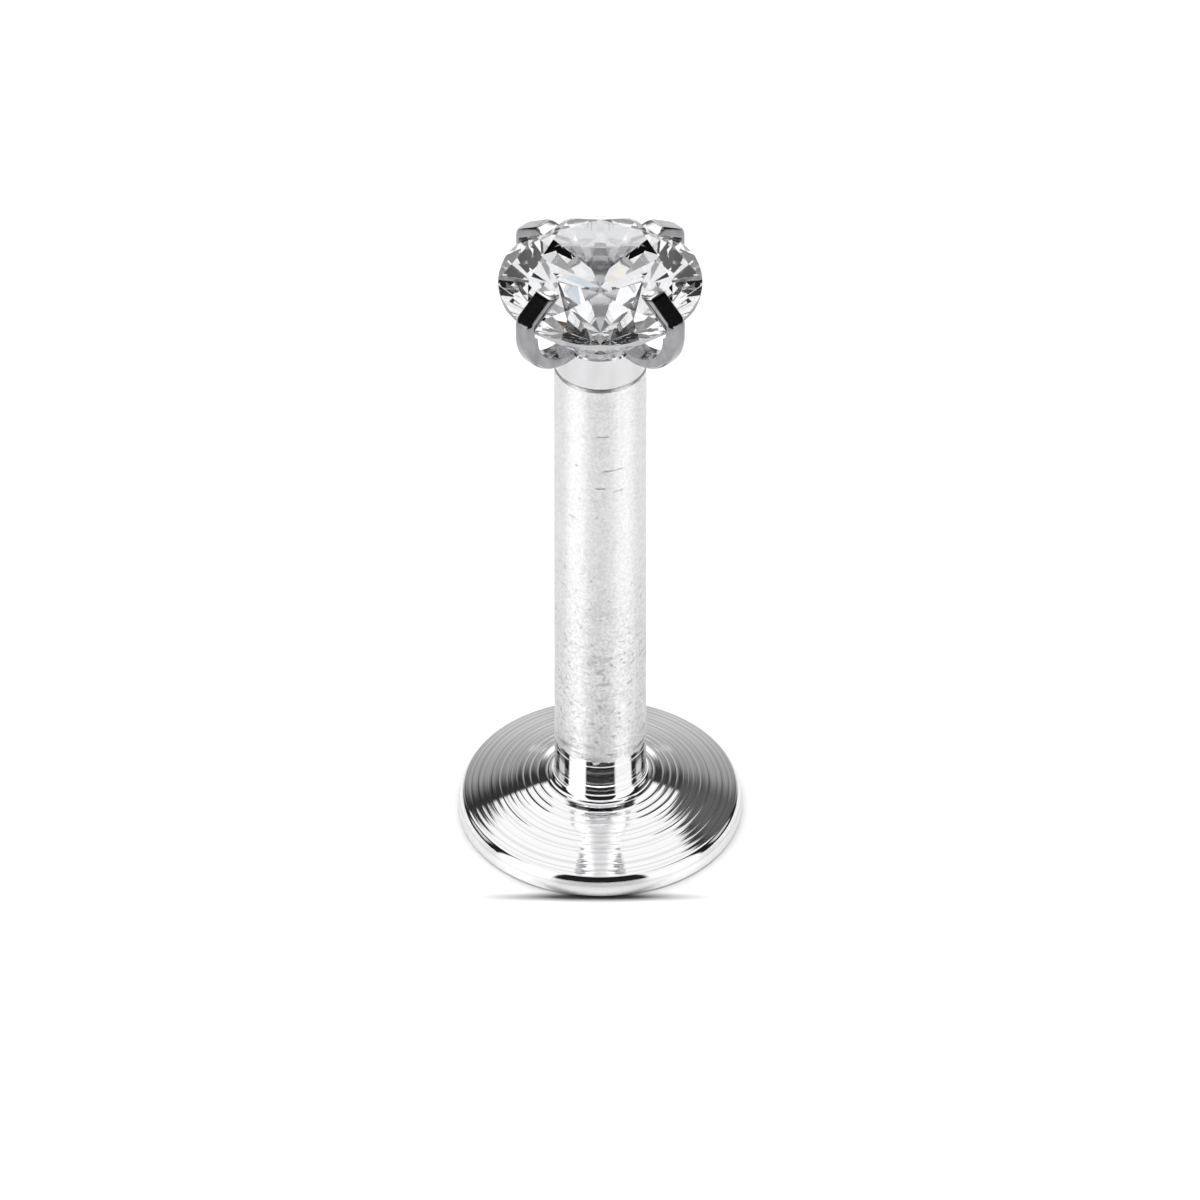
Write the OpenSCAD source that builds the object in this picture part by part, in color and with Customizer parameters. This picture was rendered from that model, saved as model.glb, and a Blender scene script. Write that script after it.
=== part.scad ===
// Labret stud: a turned post on a flat-backed disc, and a screw-in head with a round
// brilliant held by four claws. Millimetres. The disc's underside lies on the plane z = 0,
// the post's axis is Z, and the claws stand on the diagonals.

/* [Disc] */
// Diameter of the disc
disc_d = 4; // [3:0.1:5]
// Height of the disc at its rim, before the rim's top is rolled
rim_h = 0.28; // [0.18:0.01:0.4]
// How far the disc's face climbs from the rim to the post
face_rise = 0.39; // [0.2:0.01:0.7]
// Radius that rolls the top of the rim into the face
rim_round = 0.12; // [0.02:0.01:0.14]
// Chamfer round the disc's underside
disc_chamfer = 0.03; // [0.01:0.01:0.06]

/* [Post] */
// Diameter of the post
post_d = 1.29; // [1.2:0.01:1.6]
// Length of the post above the disc's face
post_len = 7.4; // [5:0.1:12]
// Radius of the hollow fillet round the post's foot
foot_fillet = 0.13; // [0.05:0.01:0.25]
// Chamfer round the post's top end
post_chamfer = 0.03; // [0.01:0.01:0.06]

/* [Stone] */
// Diameter of the stone at its girdle
stone_d = 2.83; // [2.5:0.01:3.5]
// Width of the table, corner to corner
table_d = 1.61; // [1.2:0.01:1.8]
// Height of the crown, from the girdle's top edge to the table
crown_h = 0.42; // [0.3:0.01:0.5]
// Thickness of the girdle
girdle_h = 0.1; // [0.08:0.01:0.2]
// Depth of the pavilion, from the girdle's bottom edge to the culet
pavilion_h = 1.22; // [1:0.01:1.4]
// How far the star facets reach from the table to the girdle, as a share
star_reach = 0.5; // [0.4:0.01:0.65]
// How far the lower girdle facets reach from the girdle to the culet, as a share
lower_reach = 0.77; // [0.6:0.01:0.85]
// Longest straight cut along the round girdle
girdle_cut = 0.14; // [0.07:0.01:0.3]

/* [Setting] */
// Diameter of the base cup under the stone
cup_d = 1.29; // [1.15:0.01:1.5]
// Metal of the cup below the culet
cup_floor = 0.1; // [0.06:0.01:0.3]
// Wall of the cup at its lip
cup_lip = 0.13; // [0.08:0.01:0.2]
// Width of a claw
claw_w = 0.32; // [0.2:0.01:0.4]
// Thickness of a claw under the stone
claw_t = 0.19; // [0.16:0.01:0.24]
// Metal of a claw outside the girdle
claw_wall = 0.11; // [0.08:0.01:0.15]
// Height below the girdle's top edge where a claw starts to bend in
bend_drop = 0.18; // [0.1:0.01:0.3]
// Radius of a claw's shoulder, where it turns in over the crown
shoulder_r = 0.19; // [0.16:0.01:0.24]
// Radius, from the axis, of the outer corner of a claw's tip
tip_r = 1.14; // [1.05:0.01:1.2]
// Length of the flat facet that ends a claw, along the crown
tip_facet = 0.2; // [0.1:0.01:0.25]

/* [Pin and gaps] */
// Diameter of the pin that goes down into the post
pin_d = 0.9; // [0.7:0.01:1]
// Length of the pin
pin_len = 1.8; // [1:0.1:2.5]
// Gap all round the pin in its bore
pin_gap = 0.02; // [0.01:0.01:0.05]
// Depth of the bore below the pin's end
bore_spare = 0.2; // [0.1:0.05:0.5]
// Gap between the cup and the post's top end
seat_gap = 0.02; // [0.01:0.01:0.05]
// Gap between the stone and the metal
stone_gap = 0.03; // [0.02:0.005:0.05]

/* [Hidden] */
$fn = 96;
// Tiny overlap that lets one cut run out past a face
past = 0.01;
// Hair's breadth by which a straight ends inside an arc
hair = 0.00002;

disc_r = disc_d / 2;
post_r = post_d / 2;
stone_r = stone_d / 2;
table_r = table_d / 2;
cup_r = cup_d / 2;
pin_r = pin_d / 2;
bore_r = pin_r + pin_gap;

// The disc's face is a cone from the rim to the post's wall
face_angle = atan(face_rise / (disc_r - post_r));
face_foot_z = rim_h + face_rise;
post_top = face_foot_z + post_len;
function face_z(r) = rim_h + (disc_r - r) * tan(face_angle);

// Centre of the arc that rolls the rim's top edge, touching the wall and the face
roll_r = disc_r - rim_round;
roll_z = rim_h - rim_round * (1 - sin(face_angle)) / cos(face_angle);

// Centre of the hollow fillet, touching the post's wall and the face
hollow_r = post_r + foot_fillet;
hollow_z = face_z(hollow_r) + foot_fillet / cos(face_angle);

// Slopes of the stone's crown and pavilion, measured on the middle of their main facets
crown_angle = atan(crown_h / (stone_r - table_r));
pavilion_angle = atan(pavilion_h / stone_r);

// Height of the room that the metal leaves round the stone, above the girdle's top edge
function room_over(r) = (stone_gap + (stone_r - r) * sin(crown_angle)) / cos(crown_angle);
function room_under(r) =
    -girdle_h - (stone_gap + (stone_r - r) * sin(pavilion_angle)) / cos(pavilion_angle);

// The cup stands on the post and its hollow holds the pavilion, which sets the stone's height
cup_z = post_top + seat_gap;
girdle_z = cup_z + cup_floor - room_under(0);
cup_lip_z = girdle_z + room_under(cup_r - cup_lip);

// A claw's outline in its own upright plane, with heights above the girdle's top edge
claw_out_r = stone_r + stone_gap + claw_wall;
claw_base = room_under(cup_r) - claw_t;
bend_r = -bend_drop - claw_base;
bend_x = claw_out_r - bend_r;
shoulder_x = claw_out_r - shoulder_r;
claws = 4;
claw_turn = 45;

// The stone's facets repeat round the axis in this many steps of two half facets
mains = 8;
step_angle = 360 / mains;
half_angle = step_angle / 2;
chord_x = stone_r * cos(half_angle / 2);
// Straight cuts along each half facet's stretch of the girdle
girdle_cuts = ceil(stone_r * half_angle * PI / 180 / girdle_cut);
girdle_n = 2 * mains * girdle_cuts;

// Corners shared by two stars, and the corners of the lower girdle facets, lie on the planes
// of the main facets on both sides
edge_r = table_r * cos(half_angle);
star_r = edge_r + star_reach * (stone_r - edge_r);
star_z = (stone_r - star_r * cos(half_angle)) * tan(crown_angle);
lower_r = stone_r * (1 - lower_reach);
lower_z = -girdle_h - (stone_r - lower_r * cos(half_angle)) * tan(pavilion_angle);
upper_slope = star_z / (chord_x - star_r * cos(half_angle / 2));
lower_slope = (-girdle_h - lower_z) / (chord_x - lower_r * cos(half_angle / 2));

function around(r, angle, z) = [r * cos(angle), r * sin(angle), z];
// How far the round girdle stands out past the chord of its half facet
function bulge(k) =
    stone_r * cos((k % girdle_cuts / girdle_cuts - 0.5) * half_angle) - chord_x;

// Half of the disc and post's section, without the bore
module turned_profile() {
    // The face's two ends lie a hair inside the arcs that they run into
    roll_reach = rim_round - hair;
    hollow_reach = foot_fillet - hair;
    difference() {
        union() {
            // The two round corners are drawn out to the centres of their arcs
            polygon([
                [0, 0],
                [disc_r - disc_chamfer, 0],
                [disc_r, disc_chamfer],
                [disc_r, roll_z],
                [roll_r, roll_z],
                [roll_r + roll_reach * sin(face_angle), roll_z + roll_reach * cos(face_angle)],
                [hollow_r - hollow_reach * sin(face_angle),
                    hollow_z - hollow_reach * cos(face_angle)],
                [hollow_r, hollow_z],
                [post_r, hollow_z],
                [post_r, post_top - post_chamfer],
                [post_r - post_chamfer, post_top],
                [0, post_top]
            ]);
            intersection() {
                translate([roll_r, roll_z]) circle(r = rim_round);
                translate([roll_r, disc_chamfer]) square([2 * rim_round, 2 * rim_h]);
            }
        }
        translate([hollow_r, hollow_z]) circle(r = foot_fillet);
    }
}

module post_with_disc() {
    color([0.85, 0.85, 0.86]) difference() {
        rotate_extrude() turned_profile();
        translate([0, 0, post_top - pin_len - bore_spare])
            cylinder(r = bore_r, h = pin_len + bore_spare + past);
    }
}

// Half of the stone's section with the gap round it
module room_profile() {
    flat_x = stone_r + (stone_gap - (crown_h + stone_gap) * cos(crown_angle)) / sin(crown_angle);
    polygon([
        [0, room_under(0)],
        [stone_r + stone_gap, room_under(stone_r + stone_gap)],
        [stone_r + stone_gap, room_over(stone_r + stone_gap)],
        [flat_x, crown_h + stone_gap],
        [0, crown_h + stone_gap]
    ]);
}

// One claw from the side, with the axis at x = 0 and the girdle's top edge at y = 0
module claw_profile() {
    arm_x = cup_r - cup_lip / 2;
    bar_len = (shoulder_x + shoulder_r * sin(crown_angle) - tip_r) / cos(crown_angle);
    difference() {
        union() {
            // Bend under the stone
            intersection() {
                translate([bend_x, -bend_drop]) difference() {
                    circle(r = bend_r);
                    circle(r = bend_r - claw_t);
                }
                translate([bend_x, claw_base]) square([bend_r, bend_r]);
            }
            // Arm that runs in to the middle of the cup's lip
            translate([arm_x, claw_base]) square([max(bend_x, cup_r) - arm_x, claw_t]);
            // Upright past the girdle
            translate([claw_out_r - claw_t, -bend_drop]) square([claw_t, bend_drop]);
            // Shoulder, and the bar over the crown with its flat tip
            translate([shoulder_x, 0]) {
                circle(r = shoulder_r);
                rotate(180 - crown_angle) polygon([
                    [0, 0],
                    [0, -shoulder_r],
                    [bar_len, -shoulder_r],
                    [bar_len + tip_facet, 0]
                ]);
            }
        }
        room_profile();
    }
}

module claw_setting() {
    color([0.7, 0.7, 0.72]) {
        translate([0, 0, girdle_z]) for (i = [0 : claws - 1])
            rotate(claw_turn + i * 360 / claws) rotate([90, 0, 0])
                linear_extrude(claw_w, center = true) claw_profile();
        difference() {
            translate([0, 0, cup_z]) cylinder(r = cup_r, h = cup_lip_z - cup_z);
            translate([0, 0, girdle_z]) rotate_extrude() room_profile();
        }
        translate([0, 0, post_top - pin_len]) cylinder(r = pin_r, h = pin_len + seat_gap + past);
    }
}

module stone() {
    table_pts = [for (i = [0 : mains - 1]) around(table_r, i * step_angle, crown_h)];
    star_pts = [for (i = [0 : mains - 1]) around(star_r, (i + 0.5) * step_angle, star_z)];
    upper_pts = [for (k = [0 : girdle_n - 1])
        around(stone_r, k * 360 / girdle_n, -bulge(k) * upper_slope)];
    lower_pts = [for (k = [0 : girdle_n - 1])
        around(stone_r, k * 360 / girdle_n, bulge(k) * lower_slope - girdle_h)];
    corner_pts = [for (i = [0 : mains - 1]) around(lower_r, (i + 0.5) * step_angle, lower_z)];
    culet = [0, 0, -girdle_h - pavilion_h];

    // Where each set of points starts in the whole list
    t0 = 0;
    s0 = t0 + mains;
    u0 = s0 + mains;
    l0 = u0 + girdle_n;
    c0 = l0 + girdle_n;
    culet_i = c0 + mains;
    side = girdle_cuts;

    table_face = [[for (i = [mains - 1 : -1 : 0]) t0 + i]];
    star_faces = [for (i = [0 : mains - 1]) [t0 + i, t0 + (i + 1) % mains, s0 + i]];
    kite_faces = [for (i = [0 : mains - 1])
        [t0 + i, s0 + i, u0 + 2 * side * i, s0 + (i + mains - 1) % mains]];
    // Each half facet fans out from its star or lower corner to the girdle
    upper_faces = [for (i = [0 : mains - 1], k = [-side : side - 1])
        let (a = (2 * i + 1) * side + k, b = (a + 1) % girdle_n) [s0 + i, u0 + b, u0 + a]];
    girdle_faces = [for (a = [0 : girdle_n - 1])
        let (b = (a + 1) % girdle_n) [u0 + a, u0 + b, l0 + b, l0 + a]];
    lower_faces = [for (i = [0 : mains - 1], k = [-side : side - 1])
        let (a = (2 * i + 1) * side + k, b = (a + 1) % girdle_n) [c0 + i, l0 + a, l0 + b]];
    main_faces = [for (i = [0 : mains - 1])
        [culet_i, c0 + (i + mains - 1) % mains, l0 + 2 * side * i, c0 + i]];

    color([0.93, 0.95, 0.97]) translate([0, 0, girdle_z]) polyhedron(
        points = concat(table_pts, star_pts, upper_pts, lower_pts, corner_pts, [culet]),
        faces = concat(table_face, star_faces, kite_faces, upper_faces, girdle_faces,
            lower_faces, main_faces),
        convexity = 2
    );
}

post_with_disc();
claw_setting();
stone();
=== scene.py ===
"""Looks of the labret stud: a turned steel post on a disc, a claw setting and a clear brilliant."""

import math
import random

import bmesh
import bpy
from mathutils import Matrix, Vector


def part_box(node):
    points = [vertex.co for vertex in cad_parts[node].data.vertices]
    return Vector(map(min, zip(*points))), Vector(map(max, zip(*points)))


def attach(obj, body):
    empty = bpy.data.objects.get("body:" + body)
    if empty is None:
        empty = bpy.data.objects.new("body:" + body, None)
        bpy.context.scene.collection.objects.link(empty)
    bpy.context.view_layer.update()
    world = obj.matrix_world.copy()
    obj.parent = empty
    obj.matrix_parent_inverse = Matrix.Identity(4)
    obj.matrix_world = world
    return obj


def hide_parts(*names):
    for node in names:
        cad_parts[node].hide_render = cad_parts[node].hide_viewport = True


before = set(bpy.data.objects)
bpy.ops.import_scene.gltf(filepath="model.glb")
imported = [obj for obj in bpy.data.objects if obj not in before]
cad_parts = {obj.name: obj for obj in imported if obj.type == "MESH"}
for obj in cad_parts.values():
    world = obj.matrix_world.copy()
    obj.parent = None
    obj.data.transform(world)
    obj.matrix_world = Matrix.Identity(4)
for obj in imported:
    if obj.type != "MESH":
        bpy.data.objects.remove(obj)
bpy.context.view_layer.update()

# Lengths are in millimetres and become metres when a mesh is finished
MM = 0.001
DEGREES = 180 / math.pi


def node_box(node):
    """Lowest and highest corner of a CAD node in millimetres."""
    lo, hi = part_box(node)
    return lo / MM, hi / MM


post_top = node_box("post_with_disc")[1].z
pin_low = node_box("claw_setting")[0].z
stone_top = node_box("stone")[1].z

# Disc and post
DISC_R = 2.0
RIM_H = 0.28
FACE_RISE = 0.39
DISC_CHAMFER = 0.03
POST_R = 0.645
POST_CHAMFER = 0.03
# Radius of the hollow between the face and the post
FOOT_HOLLOW = 0.1
BORE_R = 0.47
BORE_DEPTH = 2.0
# How far the disc's face is domed over a plain cone
DOME = 0.017

# Stone
STONE_R = 1.415
TABLE_R = 0.805
CROWN_H = 0.42
GIRDLE_H = 0.1
PAVILION_H = 1.22
STAR_REACH = 0.5
LOWER_REACH = 0.77
MAINS = 8

# Setting
CUP_R = 0.645
CUP_LIP = 0.13
SEAT_GAP = 0.02
CLAWS = 4
CLAW_W = 0.32
CLAW_T = 0.19
CLAW_OUT_R = 1.555
BEND_DROP = 0.18
SHOULDER_R = 0.19
TIP_R = 1.14
TIP_FACET = 0.2
STONE_GAP = 0.03
PIN_R = 0.45
# The claws' wire is a hair thinner than the CAD claws and well rounded on its outer side
WIRE_T = CLAW_T - 0.004
WIRE_ROUND = 0.1
WIRE_EDGE = 0.02
# How deep the tops of the claws are filed flat, and the rounding of their cut tips
FILED = 0.02
TIP_ROUND = 0.028

face_angle = math.atan(FACE_RISE / (DISC_R - POST_R))
crown_angle = math.atan(CROWN_H / (STONE_R - TABLE_R))
pavilion_angle = math.atan(PAVILION_H / STONE_R)
girdle_z = stone_top - CROWN_H
# Height of the claws' tips, and how steeply their cut facets rise outwards
bar_start_r = CLAW_OUT_R - SHOULDER_R * (1 - math.sin(crown_angle))
bar_start_z = girdle_z + SHOULDER_R * math.cos(crown_angle)
tip_z = bar_start_z + (bar_start_r - TIP_R) * math.tan(crown_angle)
tip_slope = math.tan(math.atan(SHOULDER_R / TIP_FACET) - crown_angle)
# Height on the post where its polished foot ends
POLISH_Z = 1.33


# Meshes


def finish_mesh(bm, name, material, sharp_deg=30.0):
    """Makes a piece in metres from a bmesh in millimetres; edges over sharp_deg stay sharp."""
    bmesh.ops.remove_doubles(bm, verts=bm.verts, dist=1e-5)
    bmesh.ops.recalc_face_normals(bm, faces=bm.faces)
    bmesh.ops.transform(bm, matrix=Matrix.Scale(MM, 4), verts=bm.verts)
    mesh = bpy.data.meshes.new(name)
    bm.to_mesh(mesh)
    bm.free()
    mesh.shade_smooth()
    mesh.set_sharp_from_angle(angle=math.radians(sharp_deg))
    mesh.materials.append(material)
    piece = bpy.data.objects.new(name, mesh)
    bpy.context.scene.collection.objects.link(piece)
    return piece


def arc(cx, cz, r, start_deg, end_deg, steps):
    """Points along an arc, both ends included."""
    points = []
    for i in range(steps + 1):
        a = math.radians(start_deg + (end_deg - start_deg) * i / steps)
        points.append((cx + r * math.cos(a), cz + r * math.sin(a)))
    return points


def turn(bm, outline, steps):
    """Turns an outline of (radius, height) points once round the Z axis."""
    verts = [bm.verts.new((r, 0.0, z)) for r, z in outline]
    edges = [bm.edges.new(pair) for pair in zip(verts, verts[1:])]
    bmesh.ops.spin(
        bm,
        geom=verts + edges,
        cent=(0, 0, 0),
        axis=(0, 0, 1),
        angle=math.tau,
        steps=steps,
        use_merge=True,
    )


def face_height(r):
    """Height of the disc's face at a radius, slightly domed."""
    share = (DISC_R - r) / (DISC_R - POST_R)
    return RIM_H + share * FACE_RISE + 4 * DOME * share * (1 - share)


# Rings left by the turning tool: the narrowest and the widest, the shallowest and the deepest for
# their tilt, and how far a ring leans from the face
RING_WIDTHS = (0.06, 0.13)
RING_DEPTHS = (0.6, 1.1)
RING_TILT = 0.011
RING_LEAN = 0.02
# Shape of one ring, from its outer to its inner edge: share of its width, share of its depth
RING_SHAPE = [
    (0.0, 0.0),
    (0.07, 0.5),
    (0.14, 0.86),
    (0.21, 1.0),
    (0.42, 0.8),
    (0.64, 0.48),
    (0.84, 0.2),
]
# Towards the foot the rings become small terraces, wide flats with short risers: radius where that
# starts, and the width over which they tilt more and more
TERRACE_R = 1.5
TERRACE_BLEND = 0.3
TERRACE_TILT = 0.042
TERRACE_SHAPE = [(0.0, 0.0), (0.3, 0.4), (0.6, 0.84), (0.74, 1.0), (0.82, 0.9), (0.9, 0.5)]


def ringed_face(r_out, r_in):
    """Outline of the disc's face from rim to foot, ringed by the turning tool."""
    rng = random.Random(11)
    points, r = [], r_out
    while r > r_in:
        width = min(rng.uniform(*RING_WIDTHS), r - r_in)
        shape, tilt = RING_SHAPE, RING_TILT
        if r < TERRACE_R:
            shape = TERRACE_SHAPE
            tilt += (TERRACE_TILT - RING_TILT) * min(1.0, (TERRACE_R - r) / TERRACE_BLEND)
        depth = rng.uniform(*RING_DEPTHS) * tilt * width
        lean = rng.uniform(-RING_LEAN, RING_LEAN)
        for t, share in shape:
            # The lean grows inwards and dies out before the next ring
            drop = depth * share + lean * width * min(t, 3 * (1 - t))
            points.append((r - width * t, face_height(r - width * t) - drop))
        r -= width
    # The rim's roll already ends on the first point
    points.pop(0)
    return points


# Stretches of the rim's roll from the wall up: slope in degrees where each ends, and its radius. The
# last stretch runs into the face
ROLL = [(20, 0.55), (50, 0.15)]
ROLL_LAST_R = 0.04
ROLL_STEPS = 6


def rim_roll(lean_deg):
    """Rounded edge of the disc, from its wall to its face, each stretch tighter than the last."""
    r, z, slope = DISC_R, 0.0, 0.0
    points = [(r, z)]
    for end, radius in ROLL + [(90 - lean_deg, ROLL_LAST_R)]:
        for i in range(ROLL_STEPS):
            a = math.radians(slope + (end - slope) * i / ROLL_STEPS)
            b = math.radians(slope + (end - slope) * (i + 1) / ROLL_STEPS)
            r -= radius * (math.cos(a) - math.cos(b))
            z += radius * (math.sin(b) - math.sin(a))
            points.append((r, z))
        slope = end
    # The roll slides up until it meets the face
    lift = face_height(r) - z
    return [(r, z + lift) for r, z in points]


# Tool grooves round the polished foot: their heights, half their width, and their depth
GROOVES_Z = (0.878, 1.24)
GROOVE_HALF = 0.01
GROOVE_DEPTH = 0.0016
# Shape of a groove from below: share of half its width, share of its depth
GROOVE_SHAPE = [(-1, 0), (-0.45, 0.55), (0, 1), (0.5, 0.5), (1, 0)]


def foot_grooves():
    """Outline of the polished foot, from the hollow up to the satin part."""
    return [
        (POST_R - GROOVE_DEPTH * deep, z + GROOVE_HALF * along)
        for z in GROOVES_Z
        for along, deep in GROOVE_SHAPE
    ]


def post_outline():
    """Half of the disc and post's section, from the middle of the underside to the bore's end."""
    lean = math.degrees(face_angle)
    hollow_r = POST_R + FOOT_HOLLOW
    cone_z = RIM_H + (DISC_R - hollow_r) * math.tan(face_angle)
    hollow_z = cone_z + FOOT_HOLLOW / math.cos(face_angle)
    roll = rim_roll(lean)
    hollow = arc(hollow_r, hollow_z, FOOT_HOLLOW, 270 - lean, 180, 16)
    face = ringed_face(roll[-1][0], hollow[0][0])
    return (
        [(0, 0), (DISC_R - DISC_CHAMFER, 0), (DISC_R, DISC_CHAMFER)]
        + roll
        + face
        + hollow
        + foot_grooves()
        + [(POST_R, post_top - POST_CHAMFER), (POST_R - POST_CHAMFER, post_top)]
        + [(BORE_R, post_top), (BORE_R, post_top - BORE_DEPTH), (0, post_top - BORE_DEPTH)]
    )


def make_post(material):
    bm = bmesh.new()
    turn(bm, post_outline(), 256)
    piece = finish_mesh(bm, "turned_post_and_disc", material, sharp_deg=7)
    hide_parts("post_with_disc")
    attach(piece, "root")


def room_over(r):
    """Height above the girdle's top edge of the room left over the stone's crown."""
    return (STONE_GAP + (STONE_R - r) * math.sin(crown_angle)) / math.cos(crown_angle)


def room_under(r):
    """Height above the girdle's top edge of the room left under the stone's pavilion."""
    reach = STONE_GAP + (STONE_R - r) * math.sin(pavilion_angle)
    return -GIRDLE_H - reach / math.cos(pavilion_angle)


def wire_rim(bm, r, low):
    """Rim of a claw's wire at radius r: well rounded below, which bends to the outside."""
    half = CLAW_W / 2
    places = [(-half, low), (half, low), (half, low + WIRE_T), (-half, low + WIRE_T)]
    verts = [bm.verts.new((r, y, z)) for y, z in places]
    bm.faces.new(verts)
    for corners, offset, segments in ((verts[:2], WIRE_ROUND, 8), (verts[2:], WIRE_EDGE, 2)):
        bmesh.ops.bevel(
            bm,
            geom=corners,
            offset=offset,
            segments=segments,
            profile=0.5,
            affect="VERTICES",
            material=-1,
        )
    bmesh.ops.delete(bm, geom=bm.faces[:], context="FACES_ONLY")
    return bm.edges[:]


def push_wire(bm, rim, along):
    """Draws the wire's open end straight on and returns its new rim."""
    made = bmesh.ops.extrude_edge_only(bm, edges=rim)["geom"]
    moved = {v for v in made if isinstance(v, bmesh.types.BMVert)}
    bmesh.ops.translate(bm, verts=list(moved), vec=along)
    return [e for e in made if isinstance(e, bmesh.types.BMEdge) and moved.issuperset(e.verts)]


def bend_wire(bm, rim, cent, degrees, steps):
    """Bends the wire's open end about a line across the claw and returns its new rim."""
    made = bmesh.ops.spin(
        bm,
        geom=rim + list({v for e in rim for v in e.verts}),
        cent=cent,
        axis=(0, -1, 0),
        angle=math.radians(degrees),
        steps=steps,
        use_duplicate=False,
    )["geom_last"]
    return [e for e in made if isinstance(e, bmesh.types.BMEdge)]


def cut_off(bm, point, normal):
    """Cuts off what lies past a plane, closes the cut and returns its rim."""
    cut = bmesh.ops.bisect_plane(
        bm,
        geom=bm.verts[:] + bm.edges[:] + bm.faces[:],
        dist=1e-4,
        plane_co=point,
        plane_no=normal,
        clear_outer=True,
    )
    rim = [e for e in cut["geom_cut"] if isinstance(e, bmesh.types.BMEdge) and e.is_boundary]
    if rim:
        bmesh.ops.contextual_create(bm, geom=rim)
    return rim


def blank(bm, name):
    """A closed solid, still in millimetres, to be joined or cut."""
    bmesh.ops.remove_doubles(bm, verts=bm.verts, dist=1e-5)
    bmesh.ops.recalc_face_normals(bm, faces=bm.faces)
    mesh = bpy.data.meshes.new(name)
    bm.to_mesh(mesh)
    bm.free()
    solid = bpy.data.objects.new(name, mesh)
    bpy.context.scene.collection.objects.link(solid)
    return solid


def make_claw(angle_deg):
    """One claw: rounded wire bent up under the stone and over its crown, with a cut tip."""
    low = girdle_z + room_under(CUP_R) - CLAW_T
    bend_z = girdle_z - BEND_DROP
    bend_r = bend_z - low
    arm_r = CUP_R - CUP_LIP / 2
    shoulder_r = CLAW_OUT_R - SHOULDER_R
    along = Vector((-math.cos(crown_angle), 0, math.sin(crown_angle)))
    out = Vector((math.sin(crown_angle), 0, math.cos(crown_angle)))
    bar_start = Vector((shoulder_r, 0, girdle_z)) + out * SHOULDER_R
    tip = bar_start + along * (bar_start.x - TIP_R) / math.cos(crown_angle)
    spare = 0.25
    bm = bmesh.new()
    start = wire_rim(bm, arm_r, low)
    rim = push_wire(bm, start, (CLAW_OUT_R - bend_r - arm_r, 0, 0))
    rim = bend_wire(bm, rim, (CLAW_OUT_R - bend_r, 0, bend_z), 90, 24)
    rim = push_wire(bm, rim, (0, 0, BEND_DROP))
    rim = bend_wire(bm, rim, (shoulder_r, 0, girdle_z), 90 - math.degrees(crown_angle), 16)
    rim = push_wire(bm, rim, along * ((tip - bar_start).length + spare))
    bmesh.ops.contextual_create(bm, geom=start)
    bmesh.ops.contextual_create(bm, geom=rim)
    bmesh.ops.recalc_face_normals(bm, faces=bm.faces)
    cut_off(bm, tip - out * FILED, out)
    rim = cut_off(bm, tip, along * SHOULDER_R + out * TIP_FACET)
    bmesh.ops.bevel(
        bm,
        geom=rim,
        offset=TIP_ROUND,
        segments=3,
        profile=0.5,
        affect="EDGES",
        material=-1,
    )
    bmesh.ops.rotate(
        bm,
        cent=(0, 0, 0),
        matrix=Matrix.Rotation(math.radians(angle_deg), 3, "Z"),
        verts=bm.verts,
    )
    return blank(bm, f"claw_at_{angle_deg:.0f}")


def make_stone_room():
    """The space that the head leaves round the stone, to be cut out of it."""
    seat_r = STONE_R + STONE_GAP
    flat_r = 0.3
    bm = bmesh.new()
    outline = [(0, girdle_z + room_under(0)), (seat_r, girdle_z + room_under(seat_r))]
    outline += [(seat_r, girdle_z + room_over(seat_r)), (flat_r, girdle_z + room_over(flat_r))]
    turn(bm, outline + [(0, girdle_z + room_over(flat_r))], 128)
    return blank(bm, "room_for_the_stone")


def cup_outline():
    """Half of the cup and pin's section, before the stone's seat is cut in it."""
    lip_r = CUP_R - CUP_LIP
    lip_z = girdle_z + room_under(lip_r)
    cup_z = post_top + SEAT_GAP
    edge = 0.02
    return [
        (0, pin_low),
        (PIN_R - edge, pin_low),
        (PIN_R, pin_low + edge),
        (PIN_R, cup_z),
        (CUP_R - edge, cup_z),
        (CUP_R, cup_z + edge),
        (CUP_R, lip_z - edge),
        (CUP_R - edge, lip_z),
        (0, lip_z),
    ]


def combine(base, others, operation):
    """Joins closed solids to base or cuts them from it, and removes them."""
    for other in others:
        step = base.modifiers.new("combine", "BOOLEAN")
        step.operation = operation
        step.solver = "EXACT"
        step.object = other
    graph = bpy.context.evaluated_depsgraph_get()
    mesh = bpy.data.meshes.new_from_object(base.evaluated_get(graph))
    base.modifiers.clear()
    base.data = mesh
    for other in others:
        bpy.data.objects.remove(other)


def make_setting(material):
    bm = bmesh.new()
    turn(bm, cup_outline(), 96)
    head = blank(bm, "head")
    claws = [make_claw(45 + i * 360 / CLAWS) for i in range(CLAWS)]
    combine(head, claws, "UNION")
    combine(head, [make_stone_room()], "DIFFERENCE")
    bm = bmesh.new()
    bm.from_mesh(head.data)
    bpy.data.objects.remove(head)
    piece = finish_mesh(bm, "claw_head", material, sharp_deg=24)
    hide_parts("claw_setting")
    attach(piece, "root")


def facet_ring(bm, count, offset, r, z, slope, way):
    """Cuts a ring of facets, each through radius r and height z; way is 1 for the crown, -1 below."""
    for i in range(count):
        a = (i + offset) * math.tau / count
        point = Vector((r * math.cos(a), r * math.sin(a), z))
        tilt = math.sin(slope)
        normal = Vector((tilt * math.cos(a), tilt * math.sin(a), way * math.cos(slope)))
        cut_off(bm, point, normal)


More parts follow.
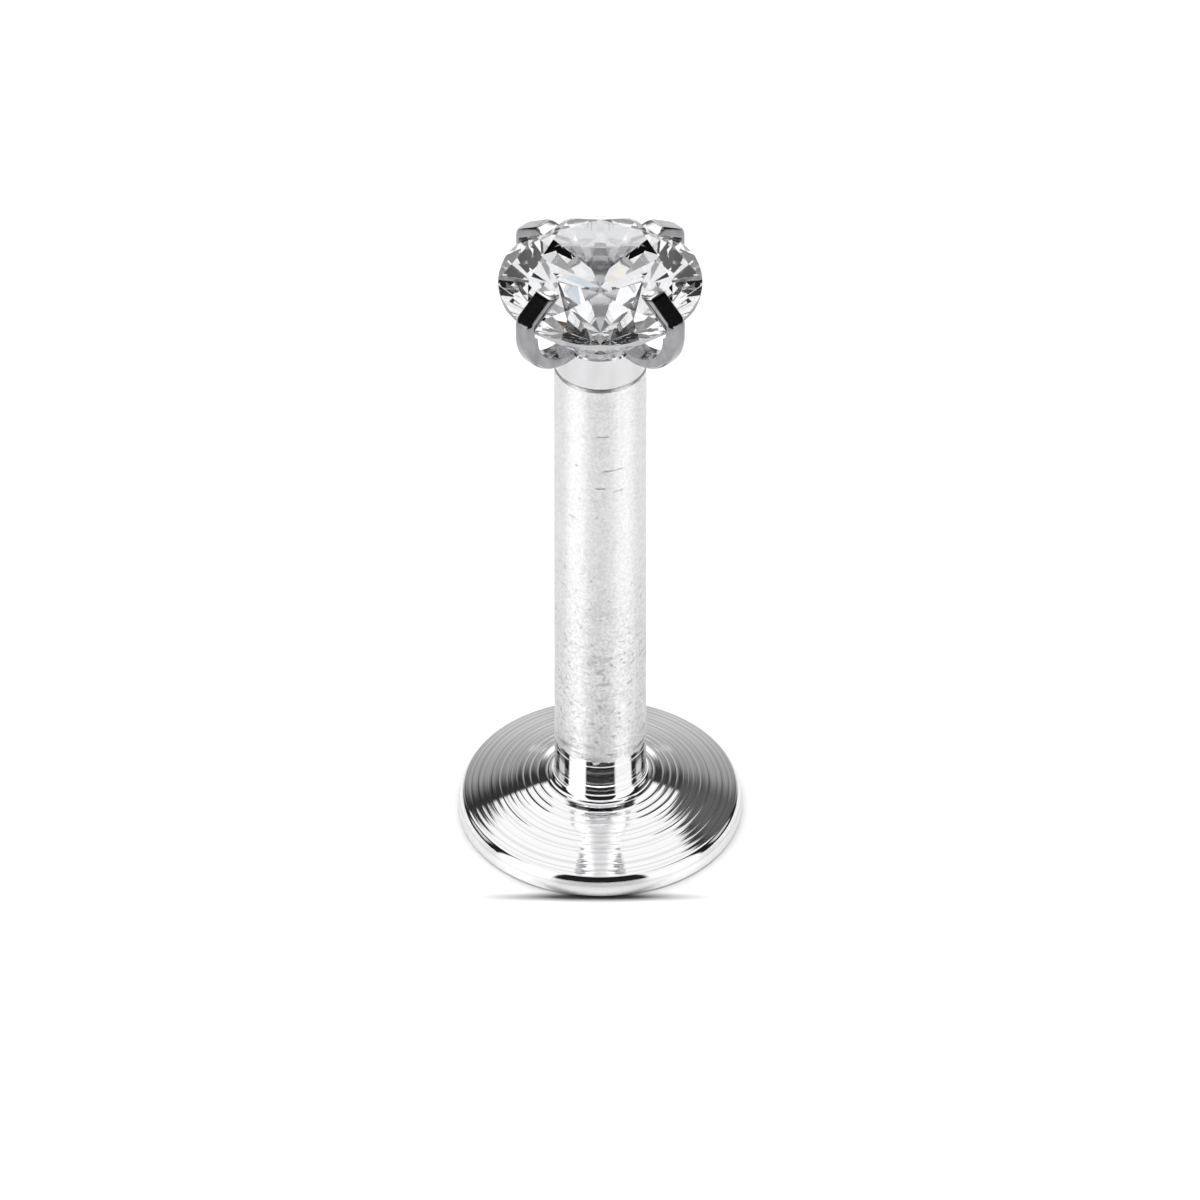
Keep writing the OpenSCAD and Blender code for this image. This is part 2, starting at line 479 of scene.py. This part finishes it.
def make_stone(material):
    """The brilliant, cut facet by facet from a turned blank."""
    spare = 0.2
    top, low = girdle_z + CROWN_H + spare, girdle_z - GIRDLE_H - PAVILION_H - spare
    bm = bmesh.new()
    turn(bm, [(0, low), (STONE_R, low), (STONE_R, top), (0, top)], 128)
    bmesh.ops.remove_doubles(bm, verts=bm.verts, dist=1e-5)
    bmesh.ops.recalc_face_normals(bm, faces=bm.faces)
    half = math.pi / MAINS
    chord = STONE_R * math.cos(half / 2)
    edge_r = TABLE_R * math.cos(half)
    star_r = edge_r + STAR_REACH * (STONE_R - edge_r)
    star_rise = (STONE_R - star_r * math.cos(half)) * math.tan(crown_angle)
    lower_r = STONE_R * (1 - LOWER_REACH)
    lower_drop = (STONE_R - lower_r * math.cos(half)) * math.tan(pavilion_angle)
    upper_slope = math.atan(star_rise / (chord - star_r * math.cos(half / 2)))
    lower_slope = math.atan(lower_drop / (chord - lower_r * math.cos(half / 2)))
    star_slope = math.atan((CROWN_H - star_rise) / (star_r - edge_r))
    below = girdle_z - GIRDLE_H
    cut_off(bm, Vector((0, 0, girdle_z + CROWN_H)), Vector((0, 0, 1)))
    facet_ring(bm, MAINS, 0, STONE_R, girdle_z, crown_angle, 1)
    facet_ring(bm, MAINS, 0, STONE_R, below, pavilion_angle, -1)
    facet_ring(bm, 2 * MAINS, 0.5, chord, girdle_z, upper_slope, 1)
    facet_ring(bm, 2 * MAINS, 0.5, chord, below, lower_slope, -1)
    facet_ring(bm, MAINS, 0.5, star_r, girdle_z + star_rise, star_slope, 1)
    piece = finish_mesh(bm, "round_brilliant", material, sharp_deg=4)
    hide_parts("stone")
    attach(piece, "root")


# Materials


class Nodes:
    """Short names for adding nodes to one node tree."""

    def __init__(self, tree):
        self.tree = tree

    def add(self, kind, **settings):
        node = self.tree.nodes.new(kind)
        for key, value in settings.items():
            setattr(node, key, value)
        return node

    def put(self, value, socket):
        """Sets a socket to a number or colour, or links it to another socket."""
        if isinstance(value, bpy.types.NodeSocket):
            self.tree.links.new(value, socket)
        else:
            socket.default_value = value

    def math(self, operation, *values):
        node = self.add("ShaderNodeMath", operation=operation)
        for socket, value in zip(node.inputs, values):
            self.put(value, socket)
        return node.outputs[0]

    def total(self, *values):
        result = values[0]
        for value in values[1:]:
            result = self.math("ADD", result, value)
        return result

    def product(self, *values):
        result = values[0]
        for value in values[1:]:
            result = self.math("MULTIPLY", result, value)
        return result

    def ramp(self, value, lo, hi, out_lo=0.0, out_hi=1.0):
        """A smooth change from out_lo at lo to out_hi at hi."""
        node = self.add("ShaderNodeMapRange", interpolation_type="SMOOTHSTEP")
        sockets = ("Value", "From Min", "From Max", "To Min", "To Max")
        for key, number in zip(sockets, (value, lo, hi, out_lo, out_hi)):
            self.put(number, node.inputs[key])
        return node.outputs["Result"]

    def mm_ramp(self, length, lo, hi, out_lo=0.0, out_hi=1.0):
        """The same along a length, between two places in millimetres."""
        return self.ramp(length, lo * MM, hi * MM, out_lo, out_hi)

    def band(self, value, lo, hi, edge):
        """1 where the value lies between lo and hi, soft over edge."""
        rise = self.ramp(value, lo - edge, lo + edge)
        return self.product(rise, self.ramp(value, hi - edge, hi + edge, 1.0, 0.0))

    def from_axis(self, x, y):
        """Distance from the post's axis."""
        return self.math("SQRT", self.total(self.product(x, x), self.product(y, y)))

    def split(self, vector):
        node = self.add("ShaderNodeSeparateXYZ")
        self.put(vector, node.inputs[0])
        return node.outputs

    def noise(self, vector, size_mm, detail=2.0):
        """Noise in space whose features are about size_mm across."""
        node = self.add("ShaderNodeTexNoise")
        self.put(vector, node.inputs["Vector"])
        node.inputs["Scale"].default_value = 1 / (size_mm * MM)
        node.inputs["Detail"].default_value = detail
        return node.outputs["Fac"]

    def line_noise(self, value, size_mm, detail=2.0):
        """Noise along one length whose features are about size_mm long."""
        node = self.add("ShaderNodeTexNoise", noise_dimensions="1D")
        self.put(value, node.inputs["W"])
        node.inputs["Scale"].default_value = 1 / (size_mm * MM)
        node.inputs["Detail"].default_value = detail
        return node.outputs["Fac"]

    def stretched(self, vector, x, y, z):
        node = self.add("ShaderNodeMapping")
        self.put(vector, node.inputs["Vector"])
        node.inputs["Scale"].default_value = (x, y, z)
        return node.outputs[0]


def new_material(name):
    m = bpy.data.materials.new(name)
    m.use_nodes = True
    m.node_tree.nodes.clear()
    n = Nodes(m.node_tree)
    out = n.add("ShaderNodeOutputMaterial")
    shader = n.add("ShaderNodeBsdfPrincipled")
    n.put(shader.outputs["BSDF"], out.inputs["Surface"])
    return m, n, shader


def bump(n, shader, height_mm):
    """Relief of a steel surface, from a height in millimetres."""
    node = n.add("ShaderNodeBump")
    n.put(height_mm, node.inputs["Height"])
    node.inputs["Distance"].default_value = MM
    n.put(node.outputs["Normal"], shader.inputs["Normal"])


# Nicks on the post: height, degrees round from the front, half their length in degrees
NICKS = [
    (7.26, 4, 9),
    (6.64, 16, 17),
    (6.33, 0, 8),
    (6.25, 22, 9),
    (5.72, -38, 6),
    (7.0, 150, 14),
    (5.1, 205, 10),
    (4.3, 120, 8),
]


def nick_group():
    """Shader group: a mask of one short cut that runs round the post."""
    group = bpy.data.node_groups.new("nick", "ShaderNodeTree")
    inputs = ("Height", "Around", "At Height", "At Angle", "Half Length")
    for name in inputs:
        group.interface.new_socket(name, in_out="INPUT", socket_type="NodeSocketFloat")
    group.interface.new_socket("Mask", in_out="OUTPUT", socket_type="NodeSocketFloat")
    n = Nodes(group)
    given = n.add("NodeGroupInput").outputs
    out = n.add("NodeGroupOutput")
    away = n.math("ABSOLUTE", n.math("SUBTRACT", given["Height"], given["At Height"]))
    turned = n.math("ABSOLUTE", n.math("SUBTRACT", given["Around"], given["At Angle"]))
    thin = n.mm_ramp(away, 0.004, 0.026, 1.0, 0.0)
    short = n.ramp(n.math("DIVIDE", turned, given["Half Length"]), 0.6, 1.0, 1.0, 0.0)
    n.put(n.product(thin, short), out.inputs["Mask"])
    return group


def grain_group():
    """Shader group: fine grain of worn steel, as a height and as a mask."""
    group = bpy.data.node_groups.new("worn_grain", "ShaderNodeTree")
    for name, kind in (("Place", "Vector"), ("Size", "Float"), ("Height", "Float")):
        group.interface.new_socket(name, in_out="INPUT", socket_type=f"NodeSocket{kind}")
    for name in ("Relief", "Mask"):
        group.interface.new_socket(name, in_out="OUTPUT", socket_type="NodeSocketFloat")
    n = Nodes(group)
    given = n.add("NodeGroupInput").outputs
    out = n.add("NodeGroupOutput")
    noise = n.add("ShaderNodeTexNoise")
    noise.inputs["Detail"].default_value = 3.0
    noise.inputs["Roughness"].default_value = 0.6
    n.put(given["Place"], noise.inputs["Vector"])
    n.put(n.math("DIVIDE", 1.0, given["Size"]), noise.inputs["Scale"])
    n.put(n.product(noise.outputs["Fac"], given["Height"]), out.inputs["Relief"])
    n.put(n.ramp(noise.outputs["Fac"], 0.32, 0.68), out.inputs["Mask"])
    return group


def worn_grain(n, group, place, size_mm, height_mm):
    """Relief in millimetres and mask of the grain on one material."""
    node = n.add("ShaderNodeGroup", node_tree=group)
    n.put(place, node.inputs["Place"])
    node.inputs["Size"].default_value = size_mm * MM
    node.inputs["Height"].default_value = height_mm
    return node.outputs["Relief"], node.outputs["Mask"]


def mix_colour(n, share, first, second):
    """A mix of two colours, which are sockets 6 and 7 of the node."""
    node = n.add("ShaderNodeMix", data_type="RGBA")
    for i, value in ((0, share), (6, first), (7, second)):
        n.put(value, node.inputs[i])
    return node.outputs[2]


def mix_number(n, share, first, second):
    """A mix of two numbers, which are sockets 2 and 3 of the node."""
    node = n.add("ShaderNodeMix", data_type="FLOAT")
    for i, value in ((0, share), (2, first), (3, second)):
        n.put(value, node.inputs[i])
    return node.outputs[0]


def post_wear(n, place, z, satin):
    """Wear of the satin part: share of the upper half, and masks of pits, smears and streaks."""
    # Pits and smears are most common on the lower half of the post
    upper = n.mm_ramp(z, 3.0, 5.6)
    pit_edge = n.total(0.6, n.product(upper, 0.08))
    pits = n.math("SUBTRACT", n.noise(n.stretched(place, 1, 1, 1.1), 0.075, 1.5), pit_edge)
    pits = n.product(n.ramp(pits, 0.0, 0.12), satin)
    smears = n.ramp(n.noise(n.stretched(place, 0.6, 0.6, 1.8), 0.16, 3), 0.5, 0.72)
    smears = n.product(smears, satin, n.mm_ramp(z, 2.4, 5.4, 1.0, 0.25))
    # Dark turning streaks lie in the satin just above the foot
    streaks = n.ramp(n.noise(n.stretched(place, 0.35, 0.35, 2.2), 0.13, 2), 0.56, 0.66)
    streaks = n.product(streaks, satin, n.mm_ramp(z, POLISH_Z + 0.1, POLISH_Z + 0.5, 1.0, 0.0))
    return upper, pits, smears, streaks


def post_nicks(n, x, y, z, radius):
    """Mask of the short cuts on the post."""
    # Degrees round from the front, from -90 to 270, so that no nick lies over the step
    around = n.product(n.math("ARCTAN2", x, n.product(y, -1.0)), DEGREES)
    around = n.math("WRAP", around, 270.0, -90.0)
    group = nick_group()
    nicks = 0.0
    for height, angle, half_length in NICKS:
        nick = n.add("ShaderNodeGroup", node_tree=group)
        n.put(z, nick.inputs["Height"])
        n.put(around, nick.inputs["Around"])
        nick.inputs["At Height"].default_value = height * MM
        nick.inputs["At Angle"].default_value = angle
        nick.inputs["Half Length"].default_value = half_length
        nicks = n.total(nick.outputs["Mask"], nicks)
    on_post = n.mm_ramp(radius, POST_R + 0.01, POST_R + 0.03, 1.0, 0.0)
    return n.product(nicks, on_post)


def turned_steel(grain):
    """Steel of the post and disc: satin above, polished at the foot, with turning marks."""
    m, n, shader = new_material("turned_steel")
    place = n.add("ShaderNodeTexCoord").outputs["Object"]
    x, y, z = n.split(place)
    radius = n.from_axis(x, y)
    # The satin part starts at a slightly ragged height
    ragged = n.total(z, n.product(n.noise(n.stretched(place, 1, 1, 0.5), 0.16), 0.2 * MM))
    satin = n.mm_ramp(ragged, POLISH_Z + 0.07, POLISH_Z + 0.11)
    on_face = n.mm_ramp(radius, POST_R + 0.035, POST_R + 0.095)
    on_wall = n.mm_ramp(radius, DISC_R - 0.038, DISC_R - 0.03)
    lines = n.line_noise(radius, 0.035)
    fine = n.line_noise(n.total(z, radius), 0.014)
    relief_grain, grain_mask = worn_grain(n, grain, place, 0.045, 0.0042)
    upper, pits, smears, streaks = post_wear(n, place, z, satin)
    nicks = post_nicks(n, x, y, z, radius)

    polished = n.total(0.04, n.product(lines, 0.04), n.product(on_wall, 0.22))
    brushed = n.total(0.4, n.product(smears, 0.12), n.product(grain_mask, 0.06))
    n.put(mix_number(n, satin, polished, brushed), shader.inputs["Roughness"])

    # Heights in millimetres
    relief = n.total(
        n.product(on_face, lines, 0.0008),
        n.product(fine, 0.00012),
        n.product(pits, -0.004),
        n.product(relief_grain, satin),
        n.product(nicks, -0.008),
        n.product(streaks, -0.004),
    )
    bump(n, shader, relief)

    lower = n.math("SUBTRACT", 1.0, upper)
    ring_tone = n.ramp(n.line_noise(radius, 0.05, 3), 0.48, 0.66)
    # Darkening of the steel by pits, nicks, smears, streaks, grain and ring tone, and painted shade
    # on the rim's wall
    dirt_and_wall_shade = n.total(
        n.product(pits, 0.3),
        n.product(nicks, 0.3),
        n.product(smears, 0.1),
        n.product(streaks, 0.45),
        n.product(grain_mask, satin, n.total(0.15, n.product(lower, 0.1))),
        n.product(ring_tone, on_face, 0.26),
        # Painted shade: the rim's wall a little darker
        n.product(on_wall, 0.02),
    )
    steel = mix_colour(n, satin, (0.83, 0.83, 0.835, 1), (0.85, 0.85, 0.855, 1))
    dirty_and_wall_shaded = mix_colour(n, n.math("MINIMUM", dirt_and_wall_shade, 1.0), steel, (0.18, 0.18, 0.18, 1))
    n.put(dirty_and_wall_shaded, shader.inputs["Base Color"])
    shader.inputs["Metallic"].default_value = 1.0
    shader.inputs["Anisotropic"].default_value = 0.85
    shader.inputs["Anisotropic Rotation"].default_value = 0.25
    tangent = n.add("ShaderNodeTangent", direction_type="RADIAL", axis="Z")
    n.put(tangent.outputs[0], shader.inputs["Tangent"])
    return m


# How far from the axis the painted highlight on the claws' tip facets and the painted shade line
# round them reach
TIP_HIGHLIGHT_END = (1.2, 1.23)
TIP_SHADE_LINE_END = (1.24, 1.28)


def setting_steel(grain):
    """Steel of the claws and cup: dark polish on the claws, a painted highlight on the tips' facets
    with a painted shade line round them, and a lighter cup.
    """
    m, n, shader = new_material("setting_steel")
    place = n.add("ShaderNodeTexCoord").outputs["Object"]
    x, y, z = n.split(place)
    radius = n.from_axis(x, y)
    relief_grain, grain_mask = worn_grain(n, grain, place, 0.05, 0.0009)
    smears = n.noise(n.stretched(place, 1, 1, 0.4), 0.16, 3)
    n.put(n.total(0.09, n.product(smears, 0.1)), shader.inputs["Roughness"])
    claw = mix_colour(n, n.ramp(smears, 0.3, 0.75), (0.30, 0.30, 0.31, 1), (0.22, 0.22, 0.228, 1))
    claw = mix_colour(n, n.product(grain_mask, 0.15), claw, (0.14, 0.14, 0.14, 1))
    # The tips' facets slope up a little towards the outside of the stone
    facet_rise = n.product(n.math("SUBTRACT", radius, TIP_R * MM), tip_slope)
    over_tip = n.math("SUBTRACT", n.math("SUBTRACT", z, tip_z * MM), facet_rise)
    # Painted highlight: the tips' facets are given a near-white colour
    tips = n.mm_ramp(over_tip, -0.022, -0.01)
    tips = n.product(tips, n.mm_ramp(radius, *TIP_HIGHLIGHT_END, 1.0, 0.0))
    cup = n.mm_ramp(radius, CUP_R + 0.005, CUP_R + 0.05, 1.0, 0.0)
    # Share of near-white: the painted highlight on the tips, and a lighter cup
    tip_highlight_and_light_cup = n.math("MAXIMUM", n.product(tips, 0.98), n.product(cup, 0.42))
    # Painted shade: a dark line round the rounded rim of each tip
    tip_shade_line = n.band(over_tip, -0.05 * MM, -0.02 * MM, 0.006 * MM)
    tip_shade_line = n.product(tip_shade_line, n.mm_ramp(radius, *TIP_SHADE_LINE_END, 1.0, 0.0), 0.75)
    claw = mix_colour(n, tip_shade_line, claw, (0.05, 0.05, 0.05, 1))
    n.put(mix_colour(n, tip_highlight_and_light_cup, claw, (0.93, 0.93, 0.935, 1)), shader.inputs["Base Color"])
    shader.inputs["Metallic"].default_value = 1.0
    bump(n, shader, relief_grain)
    return m


def clear_stone():
    """Clear stone with a fine matt girdle that lets less light through."""
    m, n, shader = new_material("clear_stone")
    x, y, z = n.split(n.add("ShaderNodeTexCoord").outputs["Object"])
    girdle = n.mm_ramp(n.from_axis(x, y), STONE_R - 0.0035, STONE_R - 0.0015)
    n.put(n.product(girdle, 0.22), shader.inputs["Roughness"])
    tint = mix_colour(n, girdle, (0.985, 0.988, 1.0, 1), (0.2, 0.2, 0.205, 1))
    n.put(tint, shader.inputs["Base Color"])
    shader.inputs["IOR"].default_value = 2.16
    shader.inputs["Transmission Weight"].default_value = 1.0
    return m


grain = grain_group()
make_post(turned_steel(grain))
make_setting(setting_steel(grain))
make_stone(clear_stone())


# Stage

FRAME_PX = 1200
PX_PER_MM = 71.5
ELEVATION = math.radians(40)
# Where the photograph shows the axis, and the middle of the disc's underside on it
AXIS_X_PX = 600.3
BASE_Y_PX = 806.3
# How far away the camera stands, in metres
CAMERA_FAR = 0.35

FLOOR_HALF = 600
# Thin line of painted shade on the floor: its middle, half its length and half its width
LINE_X = -0.08
LINE_Y = -1.99
LINE_REACH = 2.15
LINE_HALF = 0.13

# Light from in front for what is seen in two pieces of steel, one after the other: from and to in
# degrees above the horizon, and strength. Above it a stretch of the overhead card is shut off
FRONT_FILL = (36, 51)
FRONT_FILL_STRENGTH = 4.5
FRONT_SHUT = (56, 79)

# Red, green and blue of the light that passed the stone come from slightly different heights
FIRE = (0.9985, 1.0, 1.0015)


def make_camera():
    camera = bpy.data.cameras.new("camera")
    camera.sensor_width = 36
    camera.lens = camera.sensor_width * CAMERA_FAR / (FRAME_PX / PX_PER_MM * MM)
    camera.clip_start, camera.clip_end = 0.05, 5.0
    aim_z = (BASE_Y_PX - FRAME_PX / 2) / PX_PER_MM / math.cos(ELEVATION) * MM
    aim_x = (FRAME_PX / 2 - AXIS_X_PX) / PX_PER_MM * MM
    back = Vector((0, -math.cos(ELEVATION), math.sin(ELEVATION)))
    eye = bpy.data.objects.new("camera", camera)
    bpy.context.scene.collection.objects.link(eye)
    eye.location = Vector((aim_x, 0, aim_z)) + back * CAMERA_FAR
    eye.rotation_euler = (math.pi / 2 - ELEVATION, 0, 0)
    bpy.context.scene.camera = eye


def make_floor():
    """A white floor with a soft shade painted into its colour close in front of what stands on it."""
    bm = bmesh.new()
    bmesh.ops.create_grid(bm, x_segments=1, y_segments=1, size=FLOOR_HALF)
    m, n, shader = new_material("white_floor")
    x, y, z = n.split(n.add("ShaderNodeTexCoord").outputs["Object"])
    # The painted shade round the disc is deepest in front
    front = n.mm_ramp(y, -1.95, -1.4, 0.2, 0.1)
    shade = n.product(n.mm_ramp(n.from_axis(x, y), DISC_R, DISC_R + 0.25, 1.0, 0.0), front)
    # A thin line of deeper painted shade, placed where the light from above and behind ends
    off_x = n.math("DIVIDE", n.math("ABSOLUTE", n.total(x, -LINE_X * MM)), LINE_REACH * MM)
    off_y = n.math("DIVIDE", n.math("ABSOLUTE", n.total(y, -LINE_Y * MM)), LINE_HALF * MM)
    line = n.product(n.ramp(off_x, 0.1, 1.0, 1.0, 0.0), n.ramp(off_y, 0.0, 1.0, 1.0, 0.0))
    shade = n.math("MINIMUM", n.total(shade, n.product(line, 0.95)), 1.0)
    n.put(n.total(0.92, n.product(shade, -0.9)), shader.inputs["Base Color"])
    shader.inputs["Roughness"].default_value = 0.35
    finish_mesh(bm, "floor", m)


def degrees_up(n, z):
    """How far a direction rises above the horizon, in degrees."""
    return n.product(n.math("ARCSINE", z), DEGREES)


def in_front(n, y, z, lo, hi):
    """1 for the directions in front of the stud that rise by lo to hi degrees."""
    return n.product(n.ramp(y, 0.0, 0.1, 1.0, 0.0), n.band(degrees_up(n, z), lo, hi, 2))


def card_light(n, x, y, z):
    """Brightness of the cards round the stud in a direction."""
    # Directions: round from the back, up from the horizon, and on a ceiling of height 1
    around = n.product(n.math("ARCTAN2", n.math("ABSOLUTE", x), y), DEGREES)
    up = degrees_up(n, z)
    height = n.math("MAXIMUM", z, 0.001)
    ceiling_x = n.math("DIVIDE", x, height)
    ceiling_y = n.math("DIVIDE", y, height)
    overhead = n.product(n.band(ceiling_x, -0.57, 0.41, 0.02), n.band(ceiling_y, -0.42, 1.0, 0.03))
    beside = n.product(n.band(around, 100, 145, 3), n.band(up, -10, 60, 5))
    brighter_left = n.ramp(x, -0.5, 0.5, 1.1, 0.9)
    low_side = n.product(n.band(around, 62, 84, 4), n.band(up, 13, 30, 3))
    behind = n.product(n.band(around, -1, 44, 10), n.band(up, -90, 60, 4))
    fading = n.product(n.ramp(up, 4, 32, 0.72, 0.36), n.ramp(up, 28, 38, 1.0, 0.06))
    right_glow = n.product(n.band(around, 20, 60, 6), n.band(up, 35, 52, 4), n.ramp(x, 0.2, 0.4))
    # A small card behind the stud, which shows in the tips of the near claws
    for_tips = n.product(n.band(around, 4, 12, 2), n.band(up, 25.5, 33, 1))
    return n.total(
        0.018,
        n.product(overhead, 1.14),
        n.product(beside, brighter_left, 1.5),
        n.product(low_side, 0.9),
        n.product(behind, fading),
        n.product(right_glow, 0.1),
        n.product(for_tips, 1.4),
    )


def stone_light(n, x, y, z):
    """Brightness of what the stone gathers in a direction: a white tent with dark gaps."""
    # Directions: round from the front, to the right above 0, and up from the horizon
    around = n.product(n.math("ARCTAN2", x, n.product(y, -1.0)), DEGREES)
    either = n.math("ABSOLUTE", around)
    up = degrees_up(n, z)
    soft = 1.2
    front_gap = n.product(n.band(either, -1, 40, soft), n.band(up, 4, 46, soft))
    side_gap = n.product(n.band(either, 76, 124, soft), n.band(up, 20, 58, soft))
    back_grey = n.product(n.band(either, 126, 181, soft), n.band(up, 40, 60, soft))
    right_grey = n.product(n.band(around, 46, 128, soft), n.band(up, 57, 66, soft))
    left_grey = n.product(n.band(around, -128, -70, soft), n.band(up, 74, 78, soft))
    top_grey = n.ramp(up, 77, 79)
    return n.total(
        1.08,
        n.product(n.math("MAXIMUM", front_gap, side_gap), -1.04),
        n.product(back_grey, -0.62),
        n.product(right_grey, -0.58),
        n.product(left_grey, -0.4),
        n.product(top_grey, -0.6),
    )


def make_studio():
    """White cards over and beside the stud, and dark cloth between them, as a far surround."""
    world = bpy.data.worlds.new("studio")
    bpy.context.scene.world = world
    world.use_nodes = True
    world.node_tree.nodes.clear()
    n = Nodes(world.node_tree)
    out = n.add("ShaderNodeOutputWorld")
    light = n.add("ShaderNodeBackground")
    n.put(light.outputs[0], out.inputs["Surface"])
    x, y, z = n.split(n.add("ShaderNodeTexCoord").outputs["Generated"])
    path = n.add("ShaderNodeLightPath").outputs
    twice = n.math("GREATER_THAN", path["Glossy Depth"], 1.5)
    shut = n.product(in_front(n, y, z, *FRONT_SHUT), twice, -1.0)
    cards = n.product(card_light(n, x, y, z), n.total(1.0, shut))
    fill = n.product(in_front(n, y, z, *FRONT_FILL), twice, FRONT_FILL_STRENGTH)
    cards = n.total(cards, fill)
    plain = n.add("ShaderNodeCombineColor")
    for socket in plain.inputs[:3]:
        n.put(cards, socket)
    fire = n.add("ShaderNodeCombineColor")
    for i, spread in enumerate(FIRE):
        n.put(stone_light(n, x, y, n.product(z, spread)), fire.inputs[i])
    through = n.math("GREATER_THAN", path["Transmission Depth"], 0.5)
    n.put(mix_colour(n, through, plain.outputs[0], fire.outputs[0]), light.inputs["Color"])
    light.inputs["Strength"].default_value = 1.0
    # The lamp lights the floor, so the cards need no rays of their own
    world.cycles.sampling_method = "NONE"


def make_lamp():
    """Soft overhead lamp that lights the floor and stays out of the reflections."""
    lamp = bpy.data.lights.new("overhead_lamp", "SUN")
    lamp.angle = math.radians(100)
    lamp.energy = 2.4
    holder = bpy.data.objects.new("overhead_lamp", lamp)
    bpy.context.scene.collection.objects.link(holder)
    holder.rotation_euler = (math.radians(-10), 0, 0)
    holder.visible_glossy = False
    holder.visible_transmission = False


make_camera()
make_floor()
make_studio()
make_lamp()

scene = bpy.context.scene
scene.view_settings.view_transform = "Standard"
# Light turns many times inside the stone before it comes out
scene.cycles.max_bounces = 14
scene.cycles.transmission_bounces = 14
scene.cycles.glossy_bounces = 6
scene.cycles.diffuse_bounces = 1
